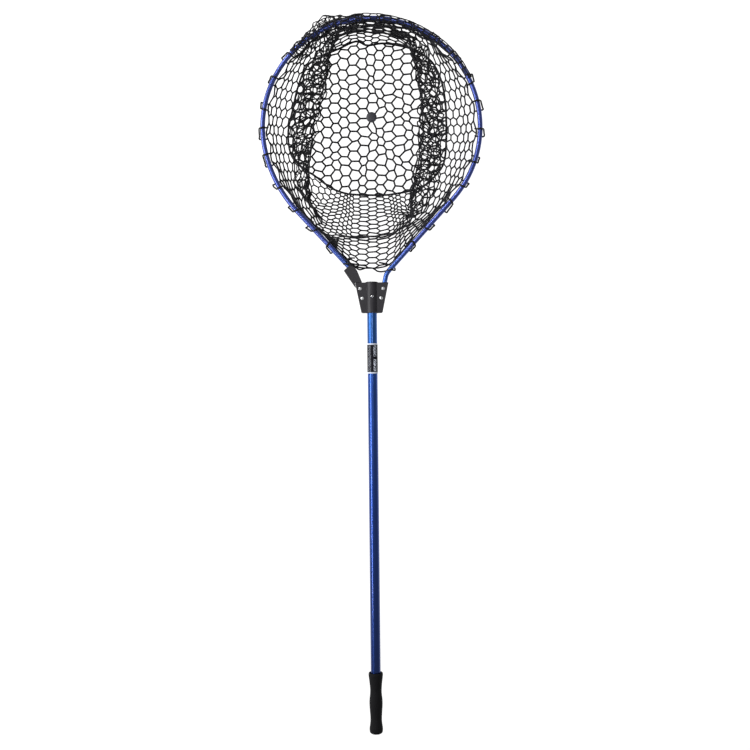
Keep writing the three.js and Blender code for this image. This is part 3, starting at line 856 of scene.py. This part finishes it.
def strands(name, verts, faces, thickness, full=None):
    """Cells made into a net of round moulded strands, thinner where full(point) is below 1."""
    obj = piece(name, *straight_sided(verts, faces), "head", "net_rubber", RUBBER)
    wire = obj.modifiers.new("strands", "WIREFRAME")
    wire.thickness, wire.use_even_offset, wire.use_boundary = thickness, False, True
    if full:
        group = obj.vertex_groups.new(name="full")
        for vertex in obj.data.vertices:
            group.add([vertex.index], full(vertex.co), "REPLACE")
        wire.vertex_group, wire.thickness_vertex_group = "full", THIN_SHARE
    round_off = obj.modifiers.new("round", "SUBSURF")
    round_off.levels = round_off.render_levels = 1
    with_modifiers(obj)
    obj.data.shade_smooth()
    return obj


def wall_place(bag):
    """Places for the wall's cells: uneven, sagging between the loops, crumpled in the slack."""
    loops = [middle(node) for node in LOOPS]
    unevenness, sag, sagging_rows = 0.22, 8 * MM, 2
    loop_reach, sag_reach = 10 * MM, 22 * MM
    legs_end, legs_fade = 1330 * MM, 90 * MM  # the net sags less along the hoop's legs
    coarse, fine = 13 * MM, 10 * MM

    def place(c, r):
        loose = math.sin(math.pi * r / ROWS) ** 0.5 if 0 < r < ROWS else 0
        slack = loose * (0.3 + 0.7 * bag.pleat(c / COLUMNS))
        shift = noise.noise_vector(Vector((c * 0.9, r * 0.9, 4.2))) * unevenness
        point = bag.at((c + shift.x * loose) / COLUMNS, r + shift.y * loose)
        if r < sagging_rows:
            away = min((loop - point).length for loop in loops) - loop_reach
            slip = clamped(away / sag_reach) * (1 - r / sagging_rows)
            fade = clamped((point.y - legs_end) / legs_fade, 0.2)
            point += (HOOP_CENTRE - point).normalized() * slip * fade * sag
        folded = slack * clamped((r - 3.5) / 3, 0.25)
        return point + crumple(point, coarse * folded) + crumple(point, fine * folded, 0.017)

    return place


# Creases of the bottom panel, from the disc's middle, in millimetres.
PANEL_CREASES = [
    [(2, 97), (30, 45), (57, -6)],
    [(6, -16), (37, -85), (106, -149)],
    [(7, -65), (-20, -140), (-32, -208)],
    [(80, 60), (100, 20), (104, -60)],
]


def pinched(point):
    """The panel's lattice, drawn together round its disc and along its creases."""
    disc_pull, disc_reach = 0.6, 22 * MM
    crease_pull, crease_reach = 0.42, 24 * MM
    from_disc = Vector((DISC.x, DISC.y, point.z)) - point
    moved = point + from_disc * disc_pull * math.exp(-((from_disc.length / disc_reach) ** 2))
    for crease in PANEL_CREASES:
        nearest = None
        for a, b in zip(crease, crease[1:]):
            a, b = (Vector((DISC.x + p[0] * MM, DISC.y + p[1] * MM, point.z)) for p in (a, b))
            span = b - a
            t = clamped((point - a).dot(span) / span.length_squared)
            spot = a + span * t
            if nearest is None or (spot - point).length < (nearest - point).length:
                nearest = spot
        away = nearest - point
        moved += away * crease_pull * math.exp(-((away.length / crease_reach) ** 2))
    return moved


def inside(outline, p):
    """Whether a point is inside an outline, looked at along Z."""
    hit = False
    for a, b in zip(outline, outline[1:] + outline[:1]):
        if (a.y > p.y) != (b.y > p.y) and p.x < (b.x - a.x) * (p.y - a.y) / (b.y - a.y) + a.x:
            hit = not hit
    return hit


def panel_cells(border):
    """The bottom panel's cells, cut off at its border."""
    pitch = Vector((24.8, 26.6)) * MM
    half_x, half_y = 10, 9
    coarse, fine = 7 * MM, 4 * MM

    def spot(c, r):
        away = Vector(((c - half_x) * pitch.x, (r - half_y - 0.5) * pitch.y, 0))
        point = pinched(Vector((DISC.x, DISC.y, -DEPTH)) + away)
        return point + crumple(point, coarse) + crumple(point, fine, 0.02)

    verts, faces = honeycomb(2 * half_x, 2 * half_y + 1, spot)
    kept = []
    for face in faces:
        centre = sum((verts[k] for k in face), Vector()) / len(face)
        if inside(border, centre):
            kept.append(face[::-1])
    for k in {k for face in kept for k in face}:
        if not inside(border, verts[k]):
            verts[k] = min(border, key=lambda b: (b - verts[k]).length_squared).copy()
    return verts, [f for f in kept if len({tuple(verts[k]) for k in f}) == len(f)]


# Where the top of the bag is gathered over the hoop: direction from the tip in degrees, and how
# far the gathered net stands out beyond the hoop, in millimetres.
GATHERS = [
    (-46, 0), (-38, 1), (-33, 8), (-28, 18), (-23, 22), (-18, 17), (-14, 8), (-11.5, 1),
    (-9, 5), (-4, 6), (4, 4), (10, 3), (14, 1), (64, 0),
]


def cuff_place(columns, rows, first, last, depth):
    """Net drawn over the hoop's tube between two directions, loose at the top left.

    The depth says how far the net reaches round the tube: 1 wraps it, less stays in front. It lies
    tight near the tip, where the handle's end comes close, and tightest at its far right end.
    """
    loose_from, loose_span = -3, 12  # in degrees, to the left
    thin_from, thin_span, thin_most = 42, 22, 0.35  # in degrees, to the right, and a share
    tight_out, tight_up = 6, 6.5
    coarse, fine = 0.02, 0.009

    def place(c, r):
        degrees = first + (last - first) * c / columns
        out = out_from_tip(degrees)
        far = between(GATHERS, degrees) * (0.55 + 0.45 * depth)
        loose = clamped((loose_from - degrees) / loose_span)
        ends = min(c, columns - c, 3) / 3
        section = [
            (-8 - 20 * loose, 2 - 15 * loose), (-6 - 6 * loose, 8 - 3 * loose), (-1, 9.5),
            (7 + far * 0.5, 7), (9.5 + far, -1 - 2 * loose), (5 + far * 0.7, -10),
            (-3 - 12 * loose, -10 - 4 * loose),
        ]
        thin = clamped((degrees - thin_from) / thin_span) * thin_most
        section = [(o + (tight_out - o) * thin, z + (tight_up - z) * thin) for o, z in section]
        at = r / rows * (len(section) - 1) * (0.6 + 0.4 * depth)
        k = min(int(at), len(section) - 2)
        (o0, z0), (o1, z1) = section[k], section[k + 1]
        o, z = o0 + (o1 - o0) * (at - k), z0 + (z1 - z0) * (at - k)
        point = HOOP_CENTRE + out * (HOOP_RADIUS + o * MM) + Vector((0, 0, z * MM))
        shift = crumple(point, (3 + 6 * loose * ends) * MM, coarse)
        shift += crumple(point, 6 * loose * ends * (1.6 - depth) * MM, fine)
        shift.z = abs(shift.z) if o < 6 and z > 0 else shift.z * 0.5
        return point + shift * (0.4 + 0.6 * loose)

    return place


def rim_loop(node):
    """One loop of strand over the hoop: across it, then along its outer side and back under."""
    at = middle(node)
    at.z = 0
    out = hoop_towards((at - HOOP_CENTRE).normalized())[1]
    along = Vector((-out.y, out.x, 0)) * random.choice((-1, 1))
    half, poke = random.uniform(8, 15), random.uniform(9.4, 13)
    lean, drop = random.uniform(-3, 3), random.uniform(0, 5)
    path = [  # outward, along and up, in millimetres
        (-14, -half - 2, -5), (-10, -half, 2), (-4, -half, 8), (2, -half + 0.5, 8.6),
        (7.5, -half + 2 + lean, 5), (9.2, -half + 5 + lean, 0),
        (poke - 1, half - 6 + lean, -1 - drop), (poke, half - 2 + lean, -1 - drop),
        (poke - 1, half, -2 - drop), (7.5, half, -7), (1, half, -8.8), (-5, half, -8.2),
        (-13, half - 1, -5.5),
    ]
    line = [at + (out * o + along * a + Vector((0, 0, z))) * MM for o, a, z in path]
    return tube_along(spline(line, 4), LOOP_RADIUS, 10)


# The net's edge across the throat, in millimetres: round the left leg at the knuckle's mouth, below
# the handle and round the right leg. A second strand is draped over the knuckle's mouth.
THROAT_LINE = [
    (-52, 1236, -11), (-70, 1228, -6), (-72, 1221, 4), (-61, 1221, 11.4), (-50, 1217.5, 11.4),
    (-41, 1212, 4), (-32, 1207, -8), (-22.4, 1209.6, -15), (-15.6, 1212, -16.6),
    (-6, 1212.6, -16.6), (2, 1211.5, -16.6), (8.4, 1208.3, -16.6), (15, 1203.6, -16.2),
    (25, 1201.7, -14), (35, 1202.4, -7), (42, 1203, 5), (47.5, 1204.6, 8.8), (54, 1204, 7),
    (60.5, 1204, -1), (60, 1211, -8), (52, 1217, -10.5), (38, 1222, -13), (20, 1226, -16),
]
DRAPE_LINE = [
    (-44, 1238, -12), (-58, 1236, 2), (-62, 1228, 10.4), (-54, 1222, 11.6), (-44, 1220, 8),
    (-30, 1219, -6), (-16, 1220, -16.4),
]


def throat_edge():
    """The strand that edges the net across the throat, and the one that is draped there."""
    edge, drape = ([Vector(p) * MM for p in line] for line in (THROAT_LINE, DRAPE_LINE))
    return merged([tube_along(spline(edge, 6), LOOP_RADIUS, 12),
                   tube_along(spline(drape, 6), 2 * MM, 12)])


def cuff(name, columns, rows, first, last, depth):
    place = cuff_place(columns, rows, first, last, depth)
    strands(name, *honeycomb(columns, rows, place), CUFF_STRAND)


def net():
    """The bag's wall and bottom panel, the net over the hoop, the border cord and the loops."""
    bag = Bag()
    border = spline(bag.rings[-1], 14, closed=True)
    cells = honeycomb(COLUMNS, ROWS, wall_place(bag), closed=True)
    wall = strands("net_wall", *cells, WALL_STRAND, full=unfolded)
    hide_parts("net_bag")
    strands("net_bottom", *panel_cells(border), PANEL_STRAND)
    cuff("net_cuff", columns=30, rows=5, first=-46, last=64, depth=1)
    cuff("net_gather", columns=10, rows=3, first=-45, last=-6, depth=0.55)
    cord = piece("net_border_cord", *tube_along(border, 2.9 * MM, 12, closed=True), "head",
                 "net_rubber", RUBBER)
    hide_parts("net_base_cord")
    loops = piece("net_rim_loops", *merged(rim_loop(n) for n in LOOPS), "head",
                  "net_rubber", RUBBER)
    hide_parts(*LOOPS)
    piece("net_throat_edge", *throat_edge(), "head", "net_rubber", RUBBER)


def disc():
    """The domed disc in the middle of the bottom panel, standing a little above its strands."""
    low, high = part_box("net_centre_disc")
    radius, edge = (high.x - low.x) / 2, 0.8 * MM
    height = high.z + 3 * MM - low.z
    side_share, dome_share = 0.35, 0.65
    profile = [(0, low.z), (radius - edge, low.z), (radius, low.z + edge),
               *dome(radius, low.z + height * side_share, height * dome_share, 9)]
    # the disc's rubber: a lighter base than the net's, a painted sheen for the soft highlight on its
    # dome, and a stronger real gloss
    made = piece("net_disc_smooth", *turned(profile, 64, (DISC.x, DISC.y), "Z"), "head",
                 "net_rubber", rubber("disc_rubber_painted_sheen", dark=0.016, gloss=0.5))
    sharpen(made, 60)
    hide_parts("net_centre_disc")


# ---- floor, light and camera ----
FLOOR_SIZE, FLOOR_DROP = 16, 0.5  # metres; the drop is below the bag
CAMERA_PLACE = (0.0061, 0.932, 2.708)
CAMERA_ROLL = -0.0104
SOFTBOXES = [  # name, length and width, power in watts, place, and the point it is aimed at
    ("key_low", 1.6, 0.45, 46, (-3.0, 0.3, 2.1), (0, 0.8, 0)),
    ("key_high", 1.9, 0.5, 60, (-3.0, 2.3, 2.1), (0, 1.5, 0)),
    ("key_far", 0.8, 0.8, 34, (-1.7, 3.7, 2.1), (0.15, 1.3, 0)),
    ("fill", 2.5, 1.6, 16, (-1.8, 1.6, 2.6), (0, 1.3, 0)),
    ("top", 0.4, 0.8, 14, (0.0, 1.5, 4.5), (0, 1.14, 0)),
]


def floor():
    """A pale floor that gives a little light of its own, which keeps the shadows on it faint."""
    bpy.ops.mesh.primitive_plane_add(size=FLOOR_SIZE, location=(0, 0.9, CAD_BOX[0].z - FLOOR_DROP))
    plane = bpy.context.object
    plane.name = "floor"
    n = Nodes("pale_floor")
    cloud = n.noise(2, 2)
    base = n.mix(cloud, (0.535, 0.535, 0.535, 1), (0.56, 0.56, 0.56, 1))
    plane.data.materials.append(n.finish(
        Base_Color=base, Roughness=0.9, Emission_Color=(1, 1, 1, 1), Emission_Strength=0.65))


def softbox(name, long, wide, power, location, target):
    data = bpy.data.lights.new(name, "AREA")
    data.shape, data.size, data.size_y, data.energy = "RECTANGLE", long, wide, power
    lamp = bpy.data.objects.new(name, data)
    lamp.location = location
    lamp.rotation_mode = "QUATERNION"
    lamp.rotation_quaternion = (Vector(target) - Vector(location)).to_track_quat("-Z", "Y")
    bpy.context.scene.collection.objects.link(lamp)


def studio():
    world = bpy.data.worlds.new("studio")
    bpy.context.scene.world = world
    world.use_nodes = True
    back = world.node_tree.nodes["Background"]
    back.inputs[0].default_value, back.inputs[1].default_value = (1, 1, 1, 1), 0.35
    bpy.context.scene.view_settings.view_transform = "Standard"
    for setup in SOFTBOXES:
        softbox(*setup)


def camera():
    """Square over the hoop's plane, turned a little in its own plane."""
    data = bpy.data.cameras.new("camera")
    data.lens, data.sensor_width = 50, 36
    data.clip_end = 100
    cam = bpy.data.objects.new("camera", data)
    cam.location = CAMERA_PLACE
    cam.rotation_euler = (0, 0, CAMERA_ROLL)
    bpy.context.scene.collection.objects.link(cam)
    bpy.context.scene.camera = cam


camera()
studio()
floor()
handle_tube()
top_plug()
label()
grip()
butt_cap()
yoke()
fasteners()
leaf_spring()
snap_button()
hoop()
net()
disc()
